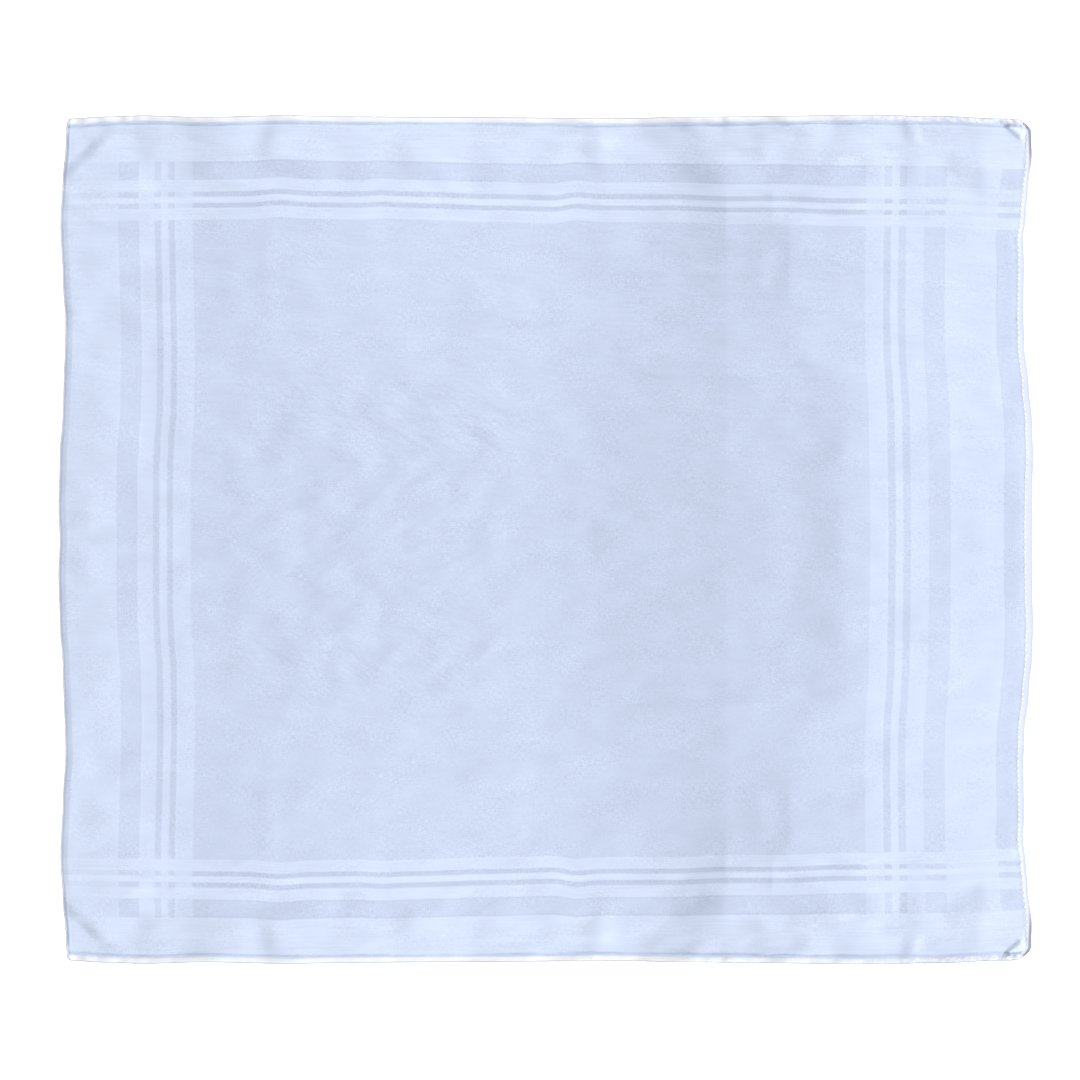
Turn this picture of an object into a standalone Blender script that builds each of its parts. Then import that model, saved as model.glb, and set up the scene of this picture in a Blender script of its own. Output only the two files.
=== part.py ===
"""A striped cotton handkerchief laid out flat, as one solid with its turned hem.

The cloth lies on the plane z = 0 with its origin under its middle: +X runs along
the longer side and +Y along the shorter one. Tables below are in millimetres.
The cloth was pressed folded in half across Y, so its folds and the stray of its
edges are the same on both sides of the line y = 0, and stations in Y are given
as distances from that line.
"""
import math
from collections import namedtuple

import bmesh
import bpy
from mathutils import Vector

MM = 0.001

# Driving sizes, in millimetres
CLOTH_LENGTH = 455.0
CLOTH_WIDTH = 399.0
CLOTH_THICKNESS = 1.0
HEM_WIDTH = 3.3
HEM_THICKNESS = 1.6
HEM_LIP = 1.0
LEFT_CORNER_RADIUS = 2.5
RIGHT_CORNER_RADIUS = 6.0
WIDEST_CELL = 8.7
STRAY_REACH = 80.0

# Linear colour and finish of the woven cotton
CLOTH_COLOUR = (0.62, 0.71, 0.89, 1.0)
CLOTH_ROUGHNESS = 0.85

# How far each edge strays outwards, read at stations along it
Stray = namedtuple("Stray", "station outward")

LEFT_EDGE = (
    Stray(0, 0.9),
    Stray(15, 1.5),
    Stray(40, 0.9),
    Stray(60, -0.5),
    Stray(78, -1.0),
    Stray(90, -1.6),
    Stray(103, -1.8),
    Stray(121, -0.7),
    Stray(150, 0.5),
    Stray(170, -0.5),
    Stray(188, -1.9),
    Stray(200, -2.6),
)
RIGHT_EDGE = (
    Stray(0, 2.3),
    Stray(27, 2.4),
    Stray(39, 2.9),
    Stray(56, 2.4),
    Stray(75, 0.8),
    Stray(94, -1.2),
    Stray(111, -1.7),
    Stray(135, -1.5),
    Stray(146, -2.1),
    Stray(158, -0.8),
    Stray(170, 0.2),
    Stray(184, 2.0),
    Stray(193, 1.7),
    Stray(200, 0.0),
)
LONG_EDGE = (
    Stray(-228, -1.0),
    Stray(-207, 0.0),
    Stray(-190, 0.5),
    Stray(-160, -0.3),
    Stray(-120, 0.5),
    Stray(-95, 0.0),
    Stray(-30, -0.3),
    Stray(33, -0.8),
    Stray(65, -0.3),
    Stray(104, 0.0),
    Stray(150, 0.5),
    Stray(182, 0.0),
    Stray(217, -1.3),
    Stray(228, -1.6),
)

# Each fold is a soft ridge from one end of its crest to the other, or a trough
# where its rise is below 0. It stands rise high and runs out at reach_left and reach_right of the crest, as seen
# going from its start to its end. It fades over taper at each end. A start
# below y = 0 carries a fold on over the line y = 0.
Fold = namedtuple("Fold", "start end rise reach_left reach_right taper")

FOLDS = {
    "main_swell": Fold((138, -120), (150, 185), 4.3, 148, 150, 70),
    "main_swell_by_hem": Fold((148, 98), (160, 290), 4.0, 112, 200, 70),
    "right_edge_drop": Fold((232, -240), (232, 240), -4.2, 44, 60, 20),
    "long_press_crease": Fold((85.5, -30), (85.5, 215), 0.8, 48, 40, 60),
    "hem_rise_left": Fold((-146, 172), (-142, 214), 0.8, 60, 16, 12),
    "short_press_crease": Fold((115.5, 110), (115.5, 158), 0.5, 16, 22, 12),
    "field_end_swell": Fold((140, -40), (144, 70), 0.8, 24, 60, 22),
    "wandering_crease_outer": Fold((-131, 160), (-131, 96), 0.4, 10, 10, 12),
    "wandering_crease_inner": Fold((-131, 104), (-117, 62), 0.4, 10, 10, 12),
    "cross_crease_outer": Fold((20, 126), (96, 126), 0.4, 12, 12, 26),
    "cross_crease_inner": Fold((36, 77.5), (118, 77.5), 0.5, 12, 12, 26),
    "cross_ridge_right": Fold((108, 80), (152, 80), 0.5, 11, 11, 20),
    "swell_by_border": Fold((-150, 19), (-114, 39), 0.5, 12, 12, 12),
    "swell_off_border": Fold((-132, 62), (-72, 31), 0.7, 13, 13, 18),
    "swell_in_field": Fold((-144, 3), (-88, 25), 0.4, 12, 12, 14),
    "swell_near_middle": Fold((-92, 73), (-64, 47), 0.4, 12, 12, 12),
    "hem_pleat": Fold((-132, 172), (-121, 206), 0.8, 12, 24, 12),
    "hem_swell": Fold((-110, 189), (-62, 190), 0.5, 12, 12, 14),
    "hem_swell_middle": Fold((-8, 206), (-5, 176), 0.5, 17, 16, 12),
    "hem_fold_right": Fold((58, 210), (88, 158), 1.1, 40, 22, 14),
    "hem_upright": Fold((103.5, 208), (103.5, 168), 0.6, 26, 18, 12),
    "corner_stroke": Fold((168, 207), (178, 160), 0.7, 13, 13, 13),
    "right_corner_swell": Fold((214, 130), (214, 236), 1.6, 46, 60, 36),
    "right_corner_pleat": Fold((206, 210), (232, 180), 1.2, 12, 12, 10),
    "left_corner_curl": Fold((-262, 133.1), (-192, 199.8), 1.0, 12, 34, 30),
    "left_border_ripple": Fold((-228, 132), (-180, 134), 0.5, 12, 12, 16),
    "left_border_ripple_inner": Fold((-220, 104), (-168, 105), 0.4, 12, 12, 16),
    "right_border_ripple": Fold((160, 44), (232, 42), 0.6, 12, 22, 24),
}


def eased(part):
    """Runs smoothly from 0 to 1 while part does, and stays level outside."""
    part = min(max(part, 0.0), 1.0)
    return part * part * (3.0 - 2.0 * part)


def read_stray(table, station):
    """The outward stray at a station, eased from one row to the next."""
    if station <= table[0].station:
        return table[0].outward
    for low, high in zip(table, table[1:]):
        if station <= high.station:
            part = (station - low.station) / (high.station - low.station)
            return low.outward + (high.outward - low.outward) * eased(part)
    return table[-1].outward


def near_edge(distance):
    """1 at an edge, fading to 0 where its stray no longer pulls the cloth."""
    return 1.0 - eased(distance / STRAY_REACH)


def rounded_corner(x, y):
    """Draws the square corner of the cut cloth in to its worn, round one."""
    radius = LEFT_CORNER_RADIUS if x < 0 else RIGHT_CORNER_RADIUS
    centre_x = CLOTH_LENGTH / 2 - radius
    centre_y = CLOTH_WIDTH / 2 - radius
    across = abs(x) - centre_x
    along = abs(y) - centre_y
    if across <= 0 or along <= 0:
        return x, y
    drawn_in = max(across, along) / math.hypot(across, along)
    return (
        math.copysign(centre_x + across * drawn_in, x),
        math.copysign(centre_y + along * drawn_in, y),
    )


def as_laid(x, y):
    """Where a point of the cut rectangle lies once its edges stray."""
    to_left = CLOTH_LENGTH / 2 + x
    to_right = CLOTH_LENGTH / 2 - x
    to_long_edge = CLOTH_WIDTH / 2 - abs(y)
    pull_x = read_stray(RIGHT_EDGE, abs(y)) * near_edge(to_right)
    pull_x -= read_stray(LEFT_EDGE, abs(y)) * near_edge(to_left)
    pull_y = read_stray(LONG_EDGE, x) * near_edge(to_long_edge)
    x, y = rounded_corner(x, y)
    return x + pull_x, y + pull_y * math.copysign(1.0, y)


def fold_height(fold, x, y):
    """Height of one fold over the point (x, y), with y not below 0."""
    start = Vector(fold.start)
    crest = Vector(fold.end) - start
    length = crest.length
    crest.normalize()
    offset = Vector((x, y)) - start
    along = offset.dot(crest)
    side = crest.cross(offset)
    reach = fold.reach_left if side > 0 else fold.reach_right
    flank = 1.0 - eased(abs(side) / reach)
    ends = eased(along / fold.taper) * eased((length - along) / fold.taper)
    return fold.rise * flank * ends


def lift(x, y):
    """Height of the underside of the cloth, which is 0 where it lies flat."""
    height = sum(fold_height(fold, x, abs(y)) for fold in FOLDS.values())
    return max(height, 0.0)


def thickness(to_edge):
    """Cloth thickness at a distance in from the edge of the cut rectangle."""
    lip_width = HEM_WIDTH / 4
    if to_edge < lip_width / 2:
        return HEM_LIP
    if to_edge < HEM_WIDTH:
        return HEM_THICKNESS
    return CLOTH_THICKNESS


def grid_lines(span, creases):
    """Stations across the cloth: fine at the hems and at the crests named."""
    edge = span / 2
    hem = [0.0, HEM_WIDTH / 4, HEM_WIDTH - 0.4, HEM_WIDTH + 0.4]
    fixed = [station - edge for station in hem]
    fixed += [edge - station for station in reversed(hem)]
    fixed = sorted(fixed + list(creases))
    lines = [fixed[0]]
    for low, high in zip(fixed, fixed[1:]):
        cells = math.ceil((high - low) / WIDEST_CELL)
        lines += [low + (high - low) * step / cells for step in range(1, cells + 1)]
    return lines


def spread_grid(bm, lines_x, lines_y):
    """Makes a unit grid and moves its rows and columns to the stations."""
    columns = len(lines_x) - 1
    rows = len(lines_y) - 1
    bmesh.ops.create_grid(bm, x_segments=columns, y_segments=rows, size=1.0)
    for vert in bm.verts:
        column = round((vert.co.x + 1) / 2 * columns)
        row = round((vert.co.y + 1) / 2 * rows)
        vert.co = Vector((lines_x[column], lines_y[row], 0))


def lay_cloth(bm):
    """Gives the flat sheet its outline, folds and thickness."""
    sheet = list(bm.faces)
    top = bmesh.ops.extrude_face_region(bm, geom=sheet)["geom"]
    top_verts = {item for item in top if isinstance(item, bmesh.types.BMVert)}
    for vert in bm.verts:
        to_edge = min(
            CLOTH_LENGTH / 2 - abs(vert.co.x),
            CLOTH_WIDTH / 2 - abs(vert.co.y),
        )
        x, y = as_laid(vert.co.x, vert.co.y)
        z = lift(x, y)
        if vert in top_verts:
            z += thickness(to_edge)
        vert.co = Vector((x, y, z)) * MM


def centre_on_origin(bm):
    """Puts the middle of the cloth's box over the origin."""
    xs = [vert.co.x for vert in bm.verts]
    ys = [vert.co.y for vert in bm.verts]
    middle = Vector((min(xs) + max(xs), min(ys) + max(ys), 0)) / 2
    bmesh.ops.translate(bm, verts=bm.verts, vec=-middle)


def woven_cotton():
    material = bpy.data.materials.new("striped_cotton")
    material.use_nodes = True
    shader = material.node_tree.nodes["Principled BSDF"]
    shader.inputs["Base Color"].default_value = CLOTH_COLOUR
    shader.inputs["Roughness"].default_value = CLOTH_ROUGHNESS
    shader.inputs["Metallic"].default_value = 0.0
    return material


def make_handkerchief():
    crests_x = (-137, -128, 75, 85.5, 104, 115.5, 143)
    crests_y = (-126, -77.5, -50, -32, -14, 0, 14, 32, 50, 77.5, 126)
    bm = bmesh.new()
    spread_grid(
        bm,
        grid_lines(CLOTH_LENGTH, crests_x),
        grid_lines(CLOTH_WIDTH, crests_y),
    )
    lay_cloth(bm)
    centre_on_origin(bm)
    bmesh.ops.recalc_face_normals(bm, faces=bm.faces)
    mesh = bpy.data.meshes.new("handkerchief")
    bm.to_mesh(mesh)
    bm.free()
    mesh.shade_smooth()
    mesh.set_sharp_from_angle(angle=math.radians(40))
    mesh.materials.append(woven_cotton())
    cloth = bpy.data.objects.new("handkerchief", mesh)
    bpy.context.scene.collection.objects.link(cloth)


def main():
    for old in list(bpy.data.objects):
        bpy.data.objects.remove(old, do_unlink=True)
    make_handkerchief()


main()
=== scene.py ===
"""The looks of a striped cotton handkerchief laid out flat on a white table.

The cloth replaces its plain solid and lies where that solid lies. Tables are in
millimetres in the part's frame: +X along the longer side, +Y along the shorter
one, with the origin under the cloth's middle. The cloth lies alike on both
sides of y = 0, so each fold and stray is given once, and stations in Y are
distances from that line.
"""
import math
import random
from collections import namedtuple
from functools import lru_cache

import bmesh
import bpy
from mathutils import Matrix, Vector, noise


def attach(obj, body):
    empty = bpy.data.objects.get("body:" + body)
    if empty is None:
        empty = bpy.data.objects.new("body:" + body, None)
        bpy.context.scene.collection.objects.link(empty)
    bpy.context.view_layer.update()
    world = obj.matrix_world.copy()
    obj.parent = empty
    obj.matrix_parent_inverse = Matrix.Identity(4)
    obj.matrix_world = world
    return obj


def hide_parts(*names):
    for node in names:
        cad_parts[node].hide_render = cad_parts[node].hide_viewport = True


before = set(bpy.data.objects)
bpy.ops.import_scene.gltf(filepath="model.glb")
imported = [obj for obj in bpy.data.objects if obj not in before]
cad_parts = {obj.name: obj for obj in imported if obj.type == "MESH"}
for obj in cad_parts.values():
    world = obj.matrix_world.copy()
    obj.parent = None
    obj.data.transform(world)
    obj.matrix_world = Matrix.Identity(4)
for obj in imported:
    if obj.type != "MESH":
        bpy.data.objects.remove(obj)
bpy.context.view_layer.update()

MM = 0.001

# The cut cloth and its turned hem, in millimetres
CLOTH_LENGTH = 455.0
CLOTH_WIDTH = 399.0
HALF_LENGTH = CLOTH_LENGTH / 2
HALF_WIDTH = CLOTH_WIDTH / 2
CLOTH_THICKNESS = 0.35
LEFT_CORNER_RADIUS = 2.5
RIGHT_CORNER_RADIUS = 6.0

# How far each edge, and the stripes inside it, stray outwards along its length
Stray = namedtuple("Stray", "station outward")

LEFT_EDGE = (
    Stray(0, 0.9), Stray(15, 1.5), Stray(40, 0.9), Stray(60, -0.5), Stray(78, -1.0),
    Stray(90, -1.6), Stray(103, -1.8), Stray(121, -0.7), Stray(150, 0.5),
    Stray(170, -0.5), Stray(188, -1.9), Stray(200, -2.6),
)
LEFT_STRIPES = (
    Stray(0, 0.9), Stray(33, 0.9), Stray(47, 0.3), Stray(61, -0.8), Stray(89, -1.1),
    Stray(118, -0.6), Stray(145, 0.0), Stray(165, 0.2), Stray(200, -0.6),
)
RIGHT_STRIPES = (
    Stray(0, 1.5), Stray(18, 1.3), Stray(61, 0.8), Stray(75, 0.0), Stray(89, -1.0),
    Stray(110, -1.4), Stray(145, -1.1), Stray(165, -0.5), Stray(200, 0.0),
)
RIGHT_EDGE = (
    Stray(0, 2.3), Stray(27, 2.4), Stray(39, 2.9), Stray(56, 2.4), Stray(75, 0.8),
    Stray(94, -1.2), Stray(111, -1.7), Stray(135, -1.5), Stray(146, -2.1),
    Stray(158, -0.8), Stray(170, 0.2), Stray(184, 2.0), Stray(193, 1.7),
    Stray(200, 0.0),
)
LONG_EDGE = (
    Stray(-228, -1.0), Stray(-207, 0.0), Stray(-190, 0.5), Stray(-160, -0.3),
    Stray(-120, 0.5), Stray(-95, 0.0), Stray(-30, -0.3), Stray(33, -0.8),
    Stray(65, -0.3), Stray(104, 0.0), Stray(150, 0.5), Stray(182, 0.0),
    Stray(217, -1.3), Stray(228, -1.6),
)
LONG_STRIPES = (
    Stray(-226, -1.4), Stray(-201, -1.0), Stray(-160, -0.5), Stray(-140, -0.3),
    Stray(-125, 0.8), Stray(-108, -0.2), Stray(-88, -0.5), Stray(-77, 0.1),
    Stray(-62, -0.5), Stray(-26, -1.5), Stray(5, -2.2), Stray(15, -0.7),
    Stray(27, -1.6), Stray(58, -1.7), Stray(88, -2.8), Stray(109, -2.8),
    Stray(140, -3.9), Stray(186, -4.3), Stray(219, -5.6),
)

# Where the stripes' strays are taken, inwards from the edges, and how far from
# the middle the field lies true
LEFT_STRIPES_INSET = 40
RIGHT_STRIPES_INSET = 50
LONG_STRIPES_INSET = 34
TRUE_FIELD = 60

# Woven borders, from the outer edge inwards. A satin of 1 is the full lustre of
# the stripes along the length; below 0 is a groove of close plain threads.
Band = namedtuple("Band", "width satin")

LEFT_BORDER = (
    Band(26.1, 0.62), Band(0.8, 0.8), Band(0.6, -0.1), Band(9.3, 0.0),
    Band(0.8, 0.9), Band(6.5, 0.75), Band(2.9, -0.3), Band(3.7, 0.85),
    Band(2.8, -0.4), Band(0.8, 0.8), Band(7.6, 0.65),
)
RIGHT_BORDER = (
    Band(12.6, 0.0), Band(0.7, -0.3), Band(0.8, 0.85), Band(23.7, 0.7),
    Band(10.1, 0.0), Band(8.5, 0.6), Band(3.5, -0.22), Band(3.6, 0.8),
    Band(3.5, -0.28), Band(0.8, 0.95), Band(7.8, 0.6),
)
LONG_BORDER = (
    Band(20.4, 0.9), Band(0.6, 1.05), Band(0.8, -0.7), Band(7.1, -0.1), Band(0.6, -0.5),
    Band(0.7, 1.0), Band(4.9, 0.95), Band(2.4, -0.7), Band(3.0, 1.2),
    Band(2.3, -0.7), Band(0.7, 1.1), Band(4.1, 0.85), Band(0.7, 1.0),
)
BAND_BLUR = 0.22

# How far in from an edge the borders and the hems are read
BORDER_REACH = 90.0
HEM_REACH = 12.0

# Each fold is a soft ridge, or a trough where its rise is below 0. It runs out
# at reach_left and reach_right of its crest, as seen going from its start to
# its end, and fades over taper at each end. A crest of 0 is round, 1 is sharp.
Fold = namedtuple("Fold", "start end rise reach_left reach_right taper crest")

FOLDS = {
    "main_swell": Fold((138, -120), (150, 185), 4.3, 148, 150, 70, 0.0),
    "main_swell_by_hem": Fold((148, 98), (160, 290), 4.0, 112, 200, 70, 0.0),
    "left_swell_by_hem": Fold((-115, 60), (-115, 290), 1.2, 120, 115, 70, 0.0),
    "long_press_crease": Fold((85.5, -30), (85.5, 215), 0.35, 48, 90, 60, 1.0),
    "long_press_crease_border": Fold((85.5, 126), (85.5, 186), 0.4, 24, 90, 22, 1.0),
    "hem_rise_left": Fold((-146, 172), (-142, 214), 0.55, 66, 14, 12, 0.0),
    "short_press_crease": Fold((115.5, 110), (115.5, 158), 0.3, 16, 22, 12, 1.0),
    "short_crease_by_border": Fold((107.5, 146), (107.5, 168), 0.14, 6, 8, 6, 1.0),
    "short_crease_hollow": Fold((104, 142), (101, 114), 0.25, 8, 10, 10, 0.2),
    "field_end_swell": Fold((139, -40), (141, 84), 0.75, 24, 140, 20, 0.6),
    "wandering_crease_outer": Fold((-131, 158), (-131, 98), 0.12, 9, 3, 10, 1.0),
    "wandering_crease_inner": Fold((-131, 104), (-117, 64), 0.12, 9, 3, 8, 1.0),
    "cross_crease_outer": Fold((20, 126), (96, 126), 0.22, 8, 4, 26, 1.0),
    "cross_crease_inner": Fold((36, 77.5), (118, 77.5), 0.55, 10, 6, 26, 1.0),
    "cross_ridge_right": Fold((108, 80), (152, 80), 0.4, 9, 10, 20, 0.2),
    "cross_patch_middle": Fold((46, 27), (46, 53), 0.3, 24, 60, 9, 0.0),
    "cross_patch_inner": Fold((33, -15), (33, 15), 0.2, 14, 50, 6, 0.0),
    "swell_by_border": Fold((-146, 21), (-118, 37), 0.1, 7, 9, 10, 0.0),
    "valley_by_border": Fold((-154, 20), (-148, 36), -0.12, 9, 7, 8, 0.0),
    "swell_off_border": Fold((-128, 60), (-76, 33), 0.28, 8, 10, 18, 0.2),
    "swell_in_field": Fold((-140, 4), (-92, 24), 0.07, 7, 8, 14, 0.0),
    "swell_near_middle": Fold((-88, 70), (-68, 50), 0.2, 5, 6, 8, 0.3),
    "streak_first": Fold((-58, 63), (-45, 53), 0.34, 3.2, 3.6, 4, 0.3),
    "streak_second": Fold((-33, 56), (-18, 46), 0.32, 3.2, 3.6, 4, 0.3),
    "middle_band": Fold((-15, 147), (-15, 98), 0.25, 12, 30, 12, 0.0),
    "middle_swell": Fold((4, 122), (4, 96), 0.45, 34, 90, 12, 0.0),
    "short_crease_swell": Fold((116, 124), (116, 98), 0.5, 38, 28, 12, 0.0),
    "hem_pleat": Fold((-132, 174), (-121, 203), 0.42, 8, 24, 14, 0.1),
    "hem_swell": Fold((-106, 189), (-66, 190), 0.25, 7, 7, 14, 0.0),
    "hem_swell_drop": Fold((-64, 197), (-60, 171), 0.28, 20, 9, 10, 0.1),
    "hem_swell_middle": Fold((-8, 204), (-5, 178), 0.3, 17, 16, 12, 0.0),
    "hem_ridge_middle": Fold((-2, 188), (36, 186), 0.3, 5, 6, 12, 0.3),
    "hem_streak": Fold((20, 187), (26, 176), 0.14, 2.6, 2.6, 4, 0.5),
    "hem_hollow_middle": Fold((25, 197), (29, 164), 0.28, 9, 8, 9, 0.2),
    "hem_fold_right": Fold((60, 210), (89, 158), 0.75, 60, 22, 14, 0.3),
    "hem_fold_right_upper": Fold((72, 204), (78, 184), 0.2, 8, 10, 8, 0.0),
    "hem_upright": Fold((103.5, 204), (103.5, 172), 0.28, 26, 6.5, 10, 0.4),
    "hem_upright_second": Fold((125, 198), (124, 182), 0.35, 14, 9, 8, 0.0),
    "corner_stroke": Fold((170, 199), (175, 184), 0.45, 6, 2.2, 4, 0.3),
    "corner_stroke_tail": Fold((176, 193), (179, 160), 0.38, 14, 12, 13, 0.0),
    "corner_swell": Fold((199, 186), (198, 170), 0.25, 14, 12, 7, 0.0),
    "corner_upright": Fold((207, 190), (207, 160), 0.25, 12, 7, 10, 0.2),
    "right_corner_swell": Fold((216, 120), (216, 240), 1.2, 52, 60, 40, 0.0),
    "right_corner_pleat": Fold((217.4, 195), (225, 188.6), 0.55, 5, 1.5, 1.4, 0.2),
    "right_corner_bump": Fold((217, 200), (217.2, 195.4), 0.12, 1.2, 1.4, 1.2, 0.2),
    "right_corner_bump_second": Fold((221.6, 199.5), (221.8, 195.2), 0.15, 1.3, 1.5, 1.2, 0.2),
    "right_corner_hollow": Fold((226.6, 196), (226.2, 183), -0.2, 1.0, 1.2, 4, 0.3),
    "left_corner_curl": Fold((-262.5, 133.6), (-196.5, 196.5), 0.82, 5.5, 60, 24, 0.2),
    "left_border_rise": Fold((-194, 178), (-194, 138), 0.45, 40, 32, 15, 0.0),
    "left_border_ripple": Fold((-226, 132), (-178, 134), 0.6, 11, 10, 24, 0.0),
    "left_border_ripple_inner": Fold((-214, 104), (-172, 105), 0.3, 9, 9, 16, 0.0),
    "left_border_patch": Fold((-204, 44), (-186, 40), 0.2, 8, 8, 9, 0.0),
    "right_border_ripple": Fold((160, 44), (232, 42), 0.5, 10, 22, 24, 0.0),
    "right_border_swell": Fold((212, -60), (212, 60), 0.6, 40, 60, 30, 0.0),
    "right_border_drop": Fold((214, -150), (214, 150), 0.35, 20, 60, 30, 0.0),
    "right_hem_rise": Fold((224, -75), (224, 75), 0.4, 16, 40, 28, 0.0),
}

# Fine wrinkles: how long and how wide they are along their heading in degrees,
# how high they reach, and which run of the noise they take
Wrinkle = namedtuple("Wrinkle", "heading length width height seed")

EVERYWHERE = Wrinkle(2, 24, 10, 0.26, 3.7)
SMALL = Wrinkle(-3, 11, 6, 0.15, 8.1)
LOW_FAN = Wrinkle(22, 14, 6, 0.15, 1.3)
HIGH_FAN = Wrinkle(-28, 13, 6, 0.15, 4.4)
HEM_PUCKER = Wrinkle(84, 20, 15, 0.26, 5.9)

# Where the last three lie: whole from start to stop, and gone by fade outside
Span = namedtuple("Span", "start stop fade")

FANS_ALONG = Span(-140, -20, 30)
LOW_FAN_ACROSS = Span(-90, 34, 12)
HIGH_FAN_ACROSS = Span(40, 68, 12)
HEM_PUCKER_ACROSS = Span(172, 210, 14)

# How high the flat of the cloth lies, so that its wrinkles can dip below it
FLAT_LIFT = 0.25

# How far the turned hem stands over the cloth, from the outer edge inwards
Rise = namedtuple("Rise", "inwards height")

LONG_HEM = (
    Rise(0.0, 0.34), Rise(0.5, 0.52), Rise(1.2, 0.64), Rise(2.4, 0.62),
    Rise(3.7, 0.02), Rise(4.0, 0.0), Rise(4.8, 0.16), Rise(9.0, 0.0),
)
RIGHT_HEM = (
    Rise(0.0, 0.19), Rise(0.4, 0.22), Rise(2.8, 0.22), Rise(4.6, 0.15),
    Rise(12.0, 0.0),
)
LEFT_HEM = (
    Rise(0.0, 0.0), Rise(0.7, 0.02), Rise(1.4, 0.2), Rise(3.8, 0.34),
    Rise(4.3, 0.34), Rise(46.0, 0.0),
)
LEFT_HEM_BY_CORNER = (
    Rise(0.0, 0.0), Rise(0.8, 0.02), Rise(1.9, 0.24), Rise(2.6, 0.16),
    Rise(12.0, 0.0),
)

# Where the left hem goes over to its shape by the corner
CORNER_HEM_START = 160
CORNER_HEM_FADE = 14

# How full the roll of the long hems is along the cloth, and how much its fine
# lumps add to it and over what length
Fullness = namedtuple("Fullness", "station share")

LONG_ROLL = (
    Fullness(-226, 1.3), Fullness(-212, 1.2), Fullness(-196, 1.2), Fullness(-180, 0.9),
    Fullness(-157, 1.3), Fullness(-140, 0.8), Fullness(-120, 1.1), Fullness(-102, 0.8),
    Fullness(-86, 1.1), Fullness(-60, 0.6), Fullness(-36, 0.5), Fullness(-14, 1.1),
    Fullness(4, 0.6), Fullness(21, 1.6), Fullness(36, 0.8), Fullness(50, 1.1),
    Fullness(75, 1.7), Fullness(98, 1.4), Fullness(104, 0.7), Fullness(113, 1.4),
    Fullness(125, 0.9), Fullness(145, 1.4), Fullness(155, 1.3), Fullness(162, 1.2),
    Fullness(169, 1.3), Fullness(182, 0.7), Fullness(206, 0.9), Fullness(217, 1.1),
)
ROLL_LUMP = 0.45
ROLL_LUMP_LENGTH = 3.5

# Rows and columns of the cloth's mesh: cells no wider than cell up to inwards,
# with three close lines along each sharp crease and none else beside it
Zone = namedtuple("Zone", "inwards cell")

ZONES = (Zone(5.4, 0.45), Zone(16.0, 0.9), Zone(52.0, 1.8), Zone(230.0, 2.7))
CREASES_UPRIGHT = (85.5, 107.5, 115.5)
CREASES_LENGTHWISE = (-126, -77.5, 77.5, 126)
CREASE_LINE_GAP = 0.7
CREASE_CLEARANCE = 1.2

# Sewing thread: how far apart its stitches are, their length, width and height,
# and how far their middles are sunk in the cloth
STITCH_PITCH = 2.35
STITCH_SIZE = (1.3, 1.1, 0.26)
STITCH_SINK_ON_RIGHT = 0.02
STITCH_SINK_ON_ROLL = 0.12
LOOP_PITCH = 2.6
LOOP_SIZE = (2.0, 1.1, 0.16)
LOOP_SINK = 0.05

# How far inwards from the edges of the cut the rows of sewing run, and how far
# from the corners they stop. The row on the right bows inwards by its middle.
RIGHT_ROW_INSET = 2.5
RIGHT_ROW_BOW = 1.3
RIGHT_ROW_GAP = 4.5
LONG_ROW_INSET = 1.5
LONG_ROW_LEFT_GAP = 4.2
LONG_ROW_RIGHT_GAP = 5.2
LOOP_ROW_INSET = 0.35
LOOP_ROW_GAP = 3.0

# How much a stitch strays from its place, in pitches, and varies in size
STITCH_STRAY = 0.12
STITCH_VARIES = (0.85, 1.12)

# Colours of the cotton, its threads and the table, and of painted shade at the hems
GROUND = "#CFDBF3"
SATIN = "#DAE6FD"
RIGHT_ROLL_THREAD = "#DFE6F9"
CORNER_ROLL_THREAD = "#EAF0FD"
# painted shade where the right roll turns down at its outer edge
OUTER_TURN_SHADE = "#D5DDF3"
LONG_ROLL_THREAD = "#F5F9FF"
# greyer spots on the long rolls towards the right corners
GREYED_ROLL_THREAD = "#DAE5FC"
LEFT_EDGE_THREAD = "#FAFBFF"
SEWING_THREAD = "#F4F6FC"
TABLE_WHITE = "#F8F8F8"
NO_TINT = (1, 1, 1, 1)
# painted shade at the foot of the long rolls
FOOT_SHADE_TINT = (0.93, 0.95, 0.99, 1)

# How deep the finest streaks are pressed in
STREAK_DEPTH = 0.22

# Node settings that repeat
SMOOTHLY = {"interpolation_type": "SMOOTHSTEP"}
COLOURS = {"data_type": "RGBA", "clamp_factor": False}

# Area lamps, in metres and degrees. A share is what the lamp gives of the light
# at the point that it is aimed at.
Lamp = namedtuple("Lamp", "name place aim width height spread share")

LAMPS = (
    Lamp("window_light", (10.0, 0.0, 2.7), (0, 0, 0), 2.4, 2.4, 180, 0.434),
    Lamp("far_side_light", (0.0, 0.75, 0.16), (0, 0.2, 0), 1.3, 0.06, 180, 0.32),
    Lamp("near_side_light", (0.0, -0.75, 0.16), (0, -0.2, 0), 1.3, 0.06, 180, 0.32),
    Lamp("far_overhead", (0.0, 0.11, 1.6), (0, 0.11, 0), 1.6, 0.1, 14, 0.0066),
    Lamp("near_overhead", (0.0, -0.11, 1.6), (0, -0.11, 0), 1.6, 0.1, 14, 0.0066),
)
ROOM_LIGHT = 0.235

# The table top, in metres
TABLE_HALF_WIDTH = 4.0
TABLE_DROP = 0.0003

# The camera, in metres, and its film in millimetres
CAMERA_PLACE = (-0.0027, -0.0002, 2.4)
FRAMED_WIDTH = 0.509
FILM_WIDTH = 36


def eased(part):
    """Runs smoothly from 0 to 1 while part does, and stays level outside."""
    part = min(max(part, 0.0), 1.0)
    return part * part * (3.0 - 2.0 * part)


def read_table(rows, station):
    """Reads (station, value) rows, easing from one row to the next."""
    if station <= rows[0][0]:
        return rows[0][1]
    for low, high in zip(rows, rows[1:]):
        if station <= high[0]:
            part = (station - low[0]) / (high[0] - low[0])
            return low[1] + (high[1] - low[1]) * eased(part)
    return rows[-1][1]


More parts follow.
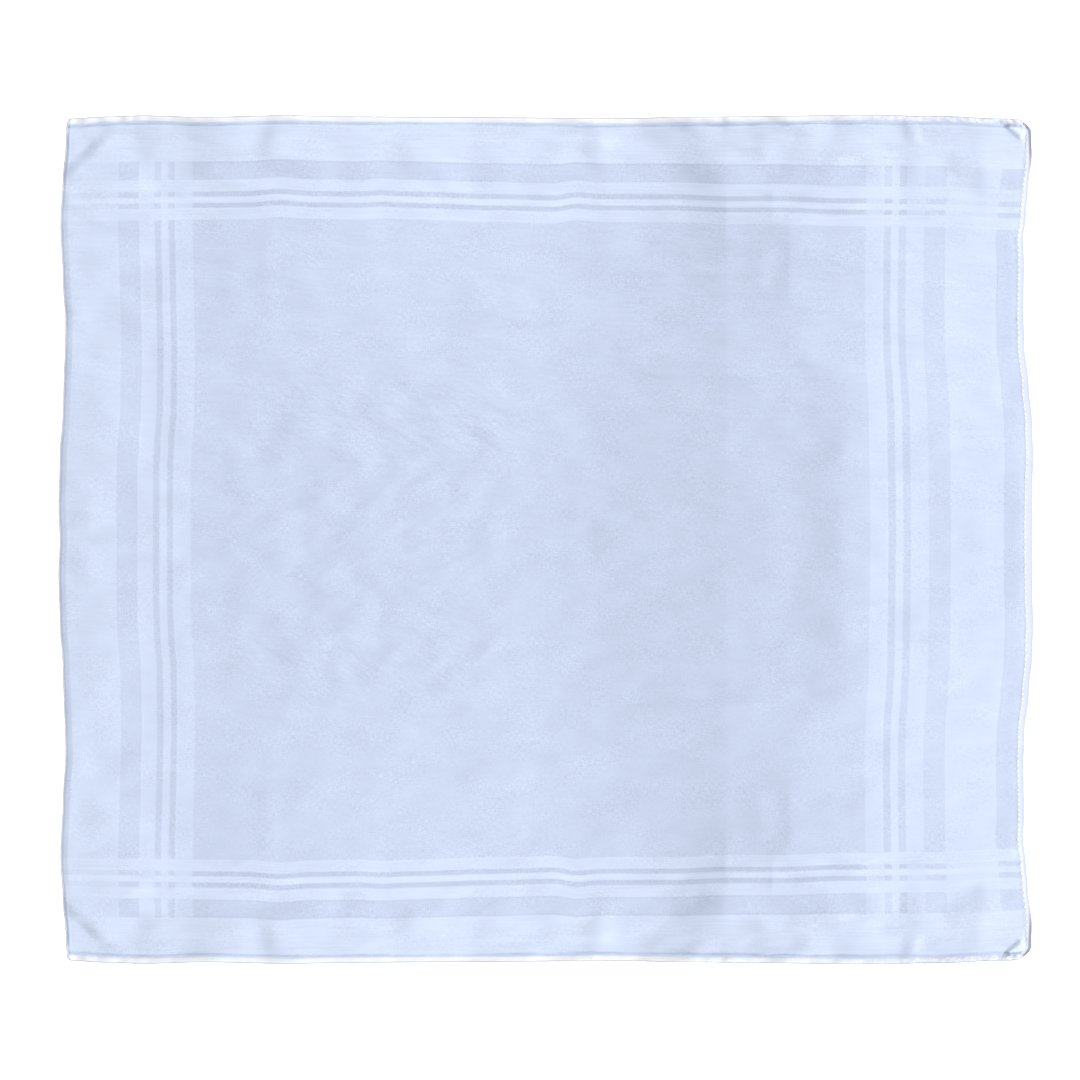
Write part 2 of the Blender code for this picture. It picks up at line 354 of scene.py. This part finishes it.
def rounded_corner(x, y):
    """Draws the square corner of the cut cloth in to its worn, round one."""
    radius = LEFT_CORNER_RADIUS if x < 0 else RIGHT_CORNER_RADIUS
    centre_x = HALF_LENGTH - radius
    centre_y = HALF_WIDTH - radius
    across = abs(x) - centre_x
    along = abs(y) - centre_y
    if across <= 0 or along <= 0:
        return x, y
    drawn_in = max(across, along) / math.hypot(across, along)
    return (
        math.copysign(centre_x + across * drawn_in, x),
        math.copysign(centre_y + along * drawn_in, y),
    )


def as_laid(x, y):
    """Where a point of the cut rectangle lies once edges and stripes stray."""
    from_middle = abs(y)
    side_pull = (
        (-HALF_LENGTH, -read_table(LEFT_EDGE, from_middle)),
        (-HALF_LENGTH + LEFT_STRIPES_INSET, -read_table(LEFT_STRIPES, from_middle)),
        (-TRUE_FIELD, 0.0),
        (TRUE_FIELD, 0.0),
        (HALF_LENGTH - RIGHT_STRIPES_INSET, read_table(RIGHT_STRIPES, from_middle)),
        (HALF_LENGTH, read_table(RIGHT_EDGE, from_middle)),
    )
    long_pull = (
        (0.0, 0.0),
        (HALF_WIDTH - LONG_STRIPES_INSET, read_table(LONG_STRIPES, x)),
        (HALF_WIDTH, read_table(LONG_EDGE, x)),
    )
    pull_x = read_table(side_pull, x)
    pull_y = read_table(long_pull, from_middle) * math.copysign(1.0, y)
    x, y = rounded_corner(x, y)
    return x + pull_x, y + pull_y


def fold_height(fold, x, y):
    """Height of one fold over the point (x, y), with y not below 0."""
    crest_x = fold.end[0] - fold.start[0]
    crest_y = fold.end[1] - fold.start[1]
    length = math.hypot(crest_x, crest_y)
    crest_x /= length
    crest_y /= length
    offset_x = x - fold.start[0]
    offset_y = y - fold.start[1]
    side = crest_x * offset_y - crest_y * offset_x
    reach = fold.reach_left if side > 0 else fold.reach_right
    if abs(side) >= reach:
        return 0.0
    along = crest_x * offset_x + crest_y * offset_y
    ends = eased(along / fold.taper) * eased((length - along) / fold.taper)
    outward = abs(side) / reach
    round_flank = 1.0 - eased(outward)
    sharp_flank = (1.0 - outward) ** 2
    flank = round_flank + (sharp_flank - round_flank) * fold.crest
    return fold.rise * flank * ends


def wrinkle_height(wrinkle, x, y):
    """Height of fine wrinkles over a point, drawn out along their heading."""
    turn = math.radians(wrinkle.heading)
    along = (x * math.cos(turn) + y * math.sin(turn)) / wrinkle.length
    across = (y * math.cos(turn) - x * math.sin(turn)) / wrinkle.width
    return wrinkle.height * noise.noise(Vector((along, across, wrinkle.seed)))


def within(span, value):
    """1 in a span, easing to 0 over its fade outside it."""
    return eased((value - span.start) / span.fade + 1) * eased((span.stop - value) / span.fade + 1)


@lru_cache(maxsize=None)
def lift(x, y):
    """Height of the underside of the cloth over the table."""
    y = abs(y)
    height = sum(fold_height(fold, x, y) for fold in FOLDS.values())
    height += wrinkle_height(EVERYWHERE, x, y) + wrinkle_height(SMALL, x, y)
    in_fans = within(FANS_ALONG, x)
    height += in_fans * within(LOW_FAN_ACROSS, y) * wrinkle_height(LOW_FAN, x, y)
    height += in_fans * within(HIGH_FAN_ACROSS, y) * wrinkle_height(HIGH_FAN, x, y)
    height += within(HEM_PUCKER_ACROSS, y) * wrinkle_height(HEM_PUCKER, x, y)
    return max(height + FLAT_LIFT, 0.0)


def hem_height(x, y):
    """Thickness of the cloth or of its turned hem at a point of the cut."""
    to_left = HALF_LENGTH + x
    to_long = HALF_WIDTH - abs(y)
    left = read_table(LEFT_HEM, to_left)
    left_by_corner = read_table(LEFT_HEM_BY_CORNER, to_left)
    left += (left_by_corner - left) * eased((abs(y) - CORNER_HEM_START) / CORNER_HEM_FADE)
    right = read_table(RIGHT_HEM, HALF_LENGTH - x)
    lumps = 1 + ROLL_LUMP * noise.noise(Vector((x / ROLL_LUMP_LENGTH, 0.0, 6.3)))
    long_roll = read_table(LONG_HEM, to_long) * read_table(LONG_ROLL, x) * lumps
    return CLOTH_THICKNESS + max(left, right, long_roll)


def grid_lines(half_span, creases):
    """Stations across the cloth, fine at the hems and beside the creases."""
    inwards = [0.0]
    for zone in ZONES:
        stop = min(zone.inwards, half_span)
        cells = max(1, math.ceil((stop - inwards[-1]) / zone.cell))
        start = inwards[-1]
        inwards += [start + (stop - start) * step / cells for step in range(1, cells + 1)]
    lines = [station - half_span for station in inwards[:-1]]
    lines += [half_span - station for station in reversed(inwards)]
    for crease in creases:
        lines = [line for line in lines if abs(line - crease) > CREASE_CLEARANCE]
        lines += [crease - CREASE_LINE_GAP, crease, crease + CREASE_LINE_GAP]
    return sorted(lines)


def spread_grid(bm, lines_x, lines_y):
    """Makes a unit grid and moves its rows and columns to the stations."""
    columns = len(lines_x) - 1
    rows = len(lines_y) - 1
    bmesh.ops.create_grid(bm, x_segments=columns, y_segments=rows, size=1.0)
    for vert in bm.verts:
        column = round((vert.co.x + 1) / 2 * columns)
        row = round((vert.co.y + 1) / 2 * rows)
        vert.co = Vector((lines_x[column], lines_y[row], 0))


def middle_of_outline():
    """How far the strays carry the cloth's middle off the cut's middle."""
    stations = range(0, int(HALF_WIDTH), 2)
    left = max(read_table(LEFT_EDGE, station) for station in stations)
    right = max(read_table(RIGHT_EDGE, station) for station in stations)
    return (right - left) / 2


OFF_MIDDLE = middle_of_outline()


def surface_point(x, y):
    """The cloth's upper face over a point of the cut, in metres."""
    laid_x, laid_y = as_laid(x, y)
    height = lift(laid_x, laid_y) + hem_height(x, y)
    return Vector((laid_x - OFF_MIDDLE, laid_y, height)) * MM


def lay_cloth(bm):
    """Gives the cut sheet its outline, folds, thickness and turned hem."""
    top = bmesh.ops.extrude_face_region(bm, geom=list(bm.faces))["geom"]
    top_verts = {item for item in top if isinstance(item, bmesh.types.BMVert)}
    plan = bm.loops.layers.uv.new("cut_plan")
    for face in bm.faces:
        for loop in face.loops:
            loop[plan].uv = loop.vert.co.xy * MM
    for vert in bm.verts:
        x, y = vert.co.x, vert.co.y
        laid_x, laid_y = as_laid(x, y)
        z = lift(laid_x, laid_y)
        if vert in top_verts:
            z += hem_height(x, y)
        vert.co = Vector((laid_x - OFF_MIDDLE, laid_y, z)) * MM


def finished_piece(name, bm, material):
    """Turns a bmesh into a smooth piece that rides on the cloth's body."""
    mesh = bpy.data.meshes.new(name)
    bm.to_mesh(mesh)
    bm.free()
    mesh.shade_smooth()
    mesh.materials.append(material)
    piece = bpy.data.objects.new(name, mesh)
    bpy.context.scene.collection.objects.link(piece)
    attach(piece, "root")
    return piece


def make_cloth(material):
    """The striped cloth with its folds and its turned hem, as one sheet."""
    bm = bmesh.new()
    upright_lines = grid_lines(HALF_LENGTH, CREASES_UPRIGHT)
    lengthwise_lines = grid_lines(HALF_WIDTH, CREASES_LENGTHWISE)
    spread_grid(bm, upright_lines, lengthwise_lines)
    lay_cloth(bm)
    bmesh.ops.recalc_face_normals(bm, faces=bm.faces)
    cloth = finished_piece("striped_cloth", bm, material)
    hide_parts("handkerchief")
    return cloth


def bead_template(name, size):
    """One plump stitch along X, to be sunk half in the cloth."""
    bm = bmesh.new()
    bmesh.ops.create_uvsphere(bm, u_segments=8, v_segments=6, radius=0.5)
    bmesh.ops.scale(bm, vec=Vector(size) * MM, verts=bm.verts)
    mesh = bpy.data.meshes.new(name)
    bm.to_mesh(mesh)
    bm.free()
    return mesh


def strewn(template, places):
    """One bmesh with a copy of the template at each place."""
    bm = bmesh.new()
    for place in places:
        copy = template.copy()
        copy.transform(place)
        bm.from_mesh(copy)
        bpy.data.meshes.remove(copy)
    bpy.data.meshes.remove(template)
    return bm


def placed_along(start, end, pitch, sink, wobble):
    """Places for stitches along a straight run of the cut, in metres."""
    run = Vector(end) - Vector(start)
    count = int(run.length / pitch)
    step = run / count
    places = []
    for index in range(count):
        stray = wobble.uniform(-STITCH_STRAY, STITCH_STRAY)
        at = Vector(start) + step * (index + 0.5 + stray)
        before = surface_point(*(at - step * 0.3))
        after = surface_point(*(at + step * 0.3))
        along = (after - before).normalized()
        side = Vector((0, 0, 1)).cross(along).normalized()
        up = along.cross(side)
        turned = Matrix((along, side, up)).transposed().to_4x4()
        middle = (before + after) / 2 - up * sink * MM
        size = Matrix.Scale(wobble.uniform(*STITCH_VARIES), 4)
        places.append(Matrix.Translation(middle) @ turned @ size)
    return places


def make_hem_stitches(material):
    """The row of stitches that holds the turned hem on three sides."""
    wobble = random.Random(11)
    right = HALF_LENGTH - RIGHT_ROW_INSET
    far = HALF_WIDTH - RIGHT_ROW_GAP
    middle = (right - RIGHT_ROW_BOW, 0)
    places = placed_along((right, far), middle, STITCH_PITCH, STITCH_SINK_ON_RIGHT, wobble)
    places += placed_along(middle, (right, -far), STITCH_PITCH, STITCH_SINK_ON_RIGHT, wobble)
    start = -HALF_LENGTH + LONG_ROW_LEFT_GAP
    stop = HALF_LENGTH - LONG_ROW_RIGHT_GAP
    row = HALF_WIDTH - LONG_ROW_INSET
    places += placed_along((start, row), (stop, row), STITCH_PITCH, STITCH_SINK_ON_ROLL, wobble)
    places += placed_along((stop, -row), (start, -row), STITCH_PITCH, STITCH_SINK_ON_ROLL, wobble)
    template = bead_template("stitch", STITCH_SIZE)
    stitches = finished_piece("hem_stitches", strewn(template, places), material)
    return stitches


def make_edge_loops(material):
    """The overcast loops that stand out along the left edge."""
    wobble = random.Random(23)
    left = -HALF_LENGTH + LOOP_ROW_INSET
    far = HALF_WIDTH - LOOP_ROW_GAP
    places = placed_along((left, far), (left, -far), LOOP_PITCH, LOOP_SINK, wobble)
    template = bead_template("loop", LOOP_SIZE)
    loops = finished_piece("edge_loops", strewn(template, places), material)
    return loops


def linear(hex_colour):
    """An sRGB hex colour as linear RGBA."""
    channels = [int(hex_colour[place:place + 2], 16) / 255 for place in (1, 3, 5)]
    return [c / 12.92 if c <= 0.04045 else ((c + 0.055) / 1.055) ** 2.4 for c in channels] + [1.0]


def add(tree, kind, *values, **settings):
    """Adds a node with its settings, and sets or links its inputs in turn.

    A value may be plain, an output, or a node, which gives its first output.
    """
    node = tree.nodes.new("ShaderNode" + kind)
    for name, setting in settings.items():
        setattr(node, name, setting)
    sockets = [socket for socket in node.inputs if socket.enabled]
    for socket, value in zip(sockets, values):
        if isinstance(value, bpy.types.Node):
            value = next(output for output in value.outputs if output.enabled)
        if isinstance(value, bpy.types.NodeSocket):
            tree.links.new(value, socket)
        else:
            socket.default_value = value
    return node


def new_material(name, roughness):
    """A material with its own node tree, and its shader."""
    material = bpy.data.materials.new(name)
    material.use_nodes = True
    shader = material.node_tree.nodes["Principled BSDF"]
    shader.inputs["Roughness"].default_value = roughness
    return material, shader


def stepped(tree, distance, span, steps, start):
    """Reads a row of (place, value) steps across a distance, softly stepped."""
    share = add(tree, "Math", distance, span, operation="DIVIDE")
    ramp = add(tree, "ValToRGB", share)
    stops = ramp.color_ramp.elements
    stops[0].position = 0.0
    stops[0].color = [start] * 3 + [1.0]
    stops.remove(stops[1])
    value = start
    for place, after in steps:
        stops.new((place - BAND_BLUR) / span).color = [value] * 3 + [1.0]
        stops.new((place + BAND_BLUR) / span).color = [after] * 3 + [1.0]
        value = after
    return ramp


def band_amount(tree, distance, bands):
    """How much satin there is at a distance from the edge of the cloth."""
    steps = []
    place = 0.0
    for band, after in zip(bands, bands[1:] + (Band(0, 0.0),)):
        place += band.width
        steps.append((place, after.satin + 1))
    ramp = stepped(tree, distance, BORDER_REACH, steps, bands[0].satin + 1)
    return add(tree, "Math", ramp, 1.0, operation="SUBTRACT")


def streaks(tree, plan, in_x, in_y, detail, heading=0):
    """Uneven streaks: how many there are in 10 mm along X and along Y.

    A heading in degrees turns their X.
    """
    if heading:
        plan = add(
            tree, "VectorRotate", plan, (0, 0, 0), -math.radians(heading), rotation_type="Z_AXIS"
        )
    scaled = add(tree, "VectorMath", plan, (in_x / 10, in_y / 10, 1), operation="MULTIPLY")
    return add(tree, "TexNoise", scaled, 1.0, detail)


Cut = namedtuple("Cut", "plan x from_middle to_left to_right to_long")


def places_on_cut(tree):
    """The plan of the cut cloth, and distances on it, in millimetres."""
    plan = add(tree, "UVMap", uv_map="cut_plan")
    plan = add(tree, "VectorMath", plan, (1000, 1000, 1000), operation="MULTIPLY")
    x, y = add(tree, "SeparateXYZ", plan).outputs[:2]
    from_middle = add(tree, "Math", y, operation="ABSOLUTE")
    return Cut(
        plan=plan,
        x=x,
        from_middle=from_middle,
        to_left=add(tree, "Math", HALF_LENGTH, x, operation="ADD"),
        to_right=add(tree, "Math", HALF_LENGTH, x, operation="SUBTRACT"),
        to_long=add(tree, "Math", HALF_WIDTH, from_middle, operation="SUBTRACT"),
    )


def woven_stripes(tree, cut):
    """How much satin there is in all, and how much of it runs lengthwise.

    The stripes cross in the corners, the ones along the length on top, and the
    close plain threads between them loosen there.
    """
    left = band_amount(tree, cut.to_left, LEFT_BORDER)
    right = band_amount(tree, cut.to_right, RIGHT_BORDER)
    upright = add(tree, "Math", left, right, operation="ADD")
    loosened = add(tree, "MapRange", cut.to_long, 64, 44, -1.0, 0.0, **SMOOTHLY)
    upright = add(tree, "Math", upright, loosened, operation="MAXIMUM")
    lengthwise = band_amount(tree, cut.to_long, LONG_BORDER)
    to_side = add(tree, "Math", cut.to_left, cut.to_right, operation="MINIMUM")
    loosened = add(tree, "MapRange", to_side, 72, 46, -1.0, -0.1, **SMOOTHLY)
    lengthwise = add(tree, "Math", lengthwise, loosened, operation="MAXIMUM")
    dull_upright = add(tree, "Math", 1.0, upright, operation="SUBTRACT")
    dull_lengthwise = add(tree, "Math", 1.0, lengthwise, operation="SUBTRACT")
    dull = add(tree, "Math", dull_upright, dull_lengthwise, operation="MULTIPLY")
    return add(tree, "Math", 1.0, dull, operation="SUBTRACT"), lengthwise


def yarn_shade(tree, cut, satin):
    """Uneven yarns both ways, less in the satin.

    Lawn has about 35 threads in 10 mm, too fine to show, so these are drawn
    twice as coarse.
    """
    lengthwise = streaks(tree, cut.plan, 4.5, 17, 2.0)
    upright = streaks(tree, cut.plan, 16, 5, 2.0)
    yarns = add(tree, "Math", lengthwise, upright, operation="ADD")
    yarns = add(tree, "Math", yarns, 1.0, operation="SUBTRACT")
    patches = streaks(tree, cut.plan, 0.5, 0.7, 1.0)
    patches = add(tree, "MapRange", patches, 0.35, 0.65, 0.1, 0.34, **SMOOTHLY)
    strength = add(tree, "Math", satin, -0.1, patches, operation="MULTIPLY_ADD")
    return add(tree, "Math", yarns, strength, 1.0, operation="MULTIPLY_ADD")


def pressing_clouds(tree, cut):
    """Faint clouds left by the pressing."""
    clouds = streaks(tree, cut.plan, 0.6, 1.4, 3.0)
    return add(tree, "Math", clouds, 0.1, 0.95, operation="MULTIPLY_ADD")


def satin_lines(tree, cut, lengthwise):
    """Fine lines along the satin, where its floating yarns part."""
    lines = streaks(tree, cut.plan, 0.4, 12, 2.0)
    lines = add(tree, "Math", lines, 0.14, 0.93, operation="MULTIPLY_ADD")
    return add(tree, "Mix", lengthwise, NO_TINT, lines, **COLOURS)


def right_roll_thread(tree, cut, colour):
    """White thread wraps the right roll, wider towards the side's middle, with painted shade where
    it turns down at its outer edge.
    """
    to_roll = add(tree, "Math", cut.from_middle, 0.012, cut.to_right, operation="MULTIPLY_ADD")
    on_roll = stepped(tree, to_roll, HEM_REACH, ((4.2, 0.0),), 1.0)
    shaded_outer_turn = stepped(tree, cut.to_right, HEM_REACH, ((1.2, 0.0),), 1.0)
    by_corner = add(tree, "MapRange", cut.from_middle, 130, 160, **SMOOTHLY)
    thread = add(
        tree, "Mix", by_corner, linear(RIGHT_ROLL_THREAD), linear(CORNER_ROLL_THREAD), **COLOURS
    )
    thread = add(tree, "Mix", shaded_outer_turn, thread, linear(OUTER_TURN_SHADE), **COLOURS)
    return add(tree, "Mix", on_roll, colour, thread, **COLOURS)


def long_roll_thread(tree, cut, colour):
    """White thread wraps the long rolls, greyer in spots towards the right corners."""
    on_roll = stepped(tree, cut.to_long, HEM_REACH, ((2.7, 0.0),), 1.0)
    spots = streaks(tree, cut.plan, 4.5, 6, 1.0)
    spots = add(tree, "MapRange", spots, 0.36, 0.66, **SMOOTHLY)
    by_corner = add(tree, "MapRange", cut.x, 110, 190, **SMOOTHLY)
    greyed_spots = add(tree, "Math", spots, by_corner, operation="MULTIPLY")
    thread = add(tree, "Mix", greyed_spots, linear(LONG_ROLL_THREAD), linear(GREYED_ROLL_THREAD), **COLOURS)
    return add(tree, "Mix", on_roll, colour, thread, **COLOURS)


def painted_foot_shade(tree, cut):
    """Painted shade at the foot of the long rolls, where the roll shades the cloth, ragged along
    them.
    """
    foot = stepped(tree, cut.to_long, HEM_REACH, ((3.2, 1.0), (4.5, 0.0)), 0.0)
    ragged = streaks(tree, cut.plan, 1.6, 5, 2.0)
    ragged = add(tree, "MapRange", ragged, 0.42, 0.62, **SMOOTHLY)
    shaded_foot = add(tree, "Math", foot, ragged, operation="MULTIPLY")
    return add(tree, "Mix", shaded_foot, NO_TINT, FOOT_SHADE_TINT, **COLOURS)


def left_hem_shade(tree, cut):
    """Painted shade over the left hem's turned band and a painted highlight on the fold inside it,
    away from the corners.
    """
    away_from_corners = add(tree, "MapRange", cut.from_middle, 160, 135, **SMOOTHLY)
    hem_shade_and_highlight = stepped(tree, cut.to_left, HEM_REACH, ((0.7, 0.985), (3.7, 1.02), (4.3, 1.0)), 1.0)
    return add(tree, "Mix", away_from_corners, NO_TINT, hem_shade_and_highlight, **COLOURS)


def pinch_shade_mask(tree, cut):
    """Where painted shade darkens the long roll between its pinched lumps, as it turns at the
    right corners.
    """
    start = add(tree, "MapRange", cut.x, 212, 215, **SMOOTHLY)
    stop = add(tree, "MapRange", cut.x, 224, 221, **SMOOTHLY)
    along = add(tree, "Math", start, stop, operation="MULTIPLY")
    outer = add(tree, "MapRange", cut.to_long, 0.6, 1.4, **SMOOTHLY)
    inner = add(tree, "MapRange", cut.to_long, 4.6, 3.6, **SMOOTHLY)
    across = add(tree, "Math", outer, inner, operation="MULTIPLY")
    pinched = add(tree, "Math", along, across, operation="MULTIPLY")
    pinch_shade = streaks(tree, cut.plan, 5, 3.5, 1.0)
    pinch_shade = add(tree, "MapRange", pinch_shade, 0.4, 0.52, **SMOOTHLY)
    return add(tree, "Math", pinched, pinch_shade, operation="MULTIPLY")


def edge_shade(tree, cut):
    """Painted shade along the very edge of the long and right hems, where the roll turns down, and
    in the pinches of the roll by the right corners.
    """
    long_edge = stepped(tree, cut.to_long, HEM_REACH, ((0.55, 1.0),), 0.5)
    right_edge = stepped(tree, cut.to_right, HEM_REACH, ((0.5, 1.0),), 0.82)
    edge = add(tree, "Math", long_edge, right_edge, operation="MULTIPLY")
    pinch_shade = pinch_shade_mask(tree, cut)
    pinch_shade = add(tree, "Math", pinch_shade, -0.28, 1.0, operation="MULTIPLY_ADD")
    return add(tree, "Math", edge, pinch_shade, operation="MULTIPLY")


def lip_shade(tree, cut):
    """The lip at the right corners lies in its own shade."""
    by_corner = add(tree, "MapRange", cut.to_long, 23, 12, **SMOOTHLY)
    on_lip = stepped(tree, cut.to_right, HEM_REACH, ((1.5, 0.0),), 0.5)
    lip = add(tree, "Math", by_corner, on_lip, operation="MULTIPLY")
    return add(tree, "Math", 1.0, lip, operation="SUBTRACT")


def pressed_streaks(tree, cut):
    """Fine pressed-in streaks: along the cloth, and fanned out on its left."""
    start = add(tree, "MapRange", cut.x, -165, -125, **SMOOTHLY)
    stop = add(tree, "MapRange", cut.x, 10, -40, **SMOOTHLY)
    in_fans = add(tree, "Math", start, stop, operation="MULTIPLY")
    low = add(tree, "MapRange", cut.from_middle, 44, 30, **SMOOTHLY)
    low = add(tree, "Math", in_fans, low, operation="MULTIPLY")
    start = add(tree, "MapRange", cut.from_middle, 34, 46, **SMOOTHLY)
    stop = add(tree, "MapRange", cut.from_middle, 84, 70, **SMOOTHLY)
    high = add(tree, "Math", start, stop, operation="MULTIPLY")
    high = add(tree, "Math", in_fans, high, operation="MULTIPLY")
    height = streaks(tree, cut.plan, 0.8, 3, 2.0)
    low_fan = streaks(tree, cut.plan, 0.7, 2.4, 2.0, heading=24)
    height = add(tree, "Math", low, low_fan, height, operation="MULTIPLY_ADD")
    high_fan = streaks(tree, cut.plan, 0.7, 2.4, 2.0, heading=-32)
    return add(tree, "Math", high, high_fan, height, operation="MULTIPLY_ADD")


def striped_cotton_lawn():
    """Cotton lawn woven plain, with satin stripes: dull ground, soft lustre."""
    material, shader = new_material("striped_cotton_lawn", 0.8)
    tree = material.node_tree
    cut = places_on_cut(tree)
    satin, lengthwise = woven_stripes(tree, cut)
    colour = add(tree, "Mix", satin, linear(GROUND), linear(SATIN), **COLOURS)
    for shade in (yarn_shade(tree, cut, satin), pressing_clouds(tree, cut)):
        colour = add(tree, "VectorMath", colour, shade, operation="SCALE")
    lines = satin_lines(tree, cut, lengthwise)
    colour = add(tree, "VectorMath", colour, lines, operation="MULTIPLY")
    colour = right_roll_thread(tree, cut, colour)
    colour = long_roll_thread(tree, cut, colour)
    wrapped = stepped(tree, cut.to_left, HEM_REACH, ((0.5, 0.0),), 1.0)
    colour = add(tree, "Mix", wrapped, colour, linear(LEFT_EDGE_THREAD), **COLOURS)
    # painted shade at the foot of the long rolls, and painted shade and highlight on the left hem
    for tint in (painted_foot_shade(tree, cut), left_hem_shade(tree, cut)):
        colour = add(tree, "VectorMath", colour, tint, operation="MULTIPLY")
    # painted shade along the outer edges, in the roll's pinches by the right corners and on the
    # corner lip
    for shade in (edge_shade(tree, cut), lip_shade(tree, cut)):
        colour = add(tree, "VectorMath", colour, shade, operation="SCALE")
    tree.links.new(colour.outputs[0], shader.inputs["Base Color"])
    # cotton reflects little: its yarns scatter what light they don't take up
    shader.inputs["Specular IOR Level"].default_value = 0.2
    bump = add(tree, "Bump")
    bump.inputs["Strength"].default_value = 1.0
    bump.inputs["Distance"].default_value = STREAK_DEPTH * MM
    tree.links.new(pressed_streaks(tree, cut).outputs[0], bump.inputs["Height"])
    tree.links.new(bump.outputs[0], shader.inputs["Normal"])
    return material


def sewing_cotton():
    """Mercerised sewing cotton: brighter and whiter than the cloth."""
    material, shader = new_material("sewing_cotton", 0.6)
    shader.inputs["Base Color"].default_value = linear(SEWING_THREAD)
    return material


def white_table():
    """A white lacquered table, lit through so that it stays white."""
    material, shader = new_material("white_table_top", 0.9)
    shader.inputs["Base Color"].default_value = linear(TABLE_WHITE)
    shader.inputs["Emission Color"].default_value = (1, 1, 1, 1)
    shader.inputs["Emission Strength"].default_value = 1.0
    return material


def make_table():
    """A table top a little below the cloth, as wide as the view."""
    bm = bmesh.new()
    bmesh.ops.create_grid(bm, x_segments=1, y_segments=1, size=TABLE_HALF_WIDTH)
    bmesh.ops.translate(bm, verts=bm.verts, vec=(0, 0, -TABLE_DROP))
    mesh = bpy.data.meshes.new("table_top")
    bm.to_mesh(mesh)
    bm.free()
    mesh.materials.append(white_table())
    table = bpy.data.objects.new("table_top", mesh)
    bpy.context.scene.collection.objects.link(table)


def make_lamp(lamp):
    """A soft lamp that gives its share of the light where it is aimed."""
    light = bpy.data.lights.new(lamp.name, "AREA")
    light.shape = "RECTANGLE"
    light.size = lamp.width
    light.size_y = lamp.height
    light.spread = math.radians(lamp.spread)
    beam = Vector(lamp.place) - Vector(lamp.aim)
    light.energy = lamp.share * math.pi ** 2 * beam.length ** 3 / beam.z
    holder = bpy.data.objects.new(lamp.name, light)
    holder.location = lamp.place
    holder.rotation_euler = beam.to_track_quat("Z", "Y").to_euler()
    holder.visible_camera = False
    bpy.context.scene.collection.objects.link(holder)


def light_the_scene():
    """Lamps on three sides and overhead, in a softly lit room."""
    world = bpy.data.worlds.new("soft_room")
    world.use_nodes = True
    background = world.node_tree.nodes["Background"]
    background.inputs["Color"].default_value = (1, 1, 1, 1)
    background.inputs["Strength"].default_value = ROOM_LIGHT
    bpy.context.scene.world = world
    for lamp in LAMPS:
        make_lamp(lamp)
    bpy.context.scene.view_settings.view_transform = "Standard"


def place_camera():
    """A long lens straight above, a little left of the cloth's middle."""
    camera = bpy.data.cameras.new("camera")
    camera.sensor_width = FILM_WIDTH
    camera.lens = FILM_WIDTH * CAMERA_PLACE[2] / FRAMED_WIDTH
    camera.clip_end = 20
    holder = bpy.data.objects.new("camera", camera)
    holder.location = CAMERA_PLACE
    bpy.context.scene.collection.objects.link(holder)
    bpy.context.scene.camera = holder


def main():
    place_camera()
    thread = sewing_cotton()
    cloth = make_cloth(striped_cotton_lawn())
    stitches = make_hem_stitches(thread)
    loops = make_edge_loops(thread)
    make_table()
    light_the_scene()


main()
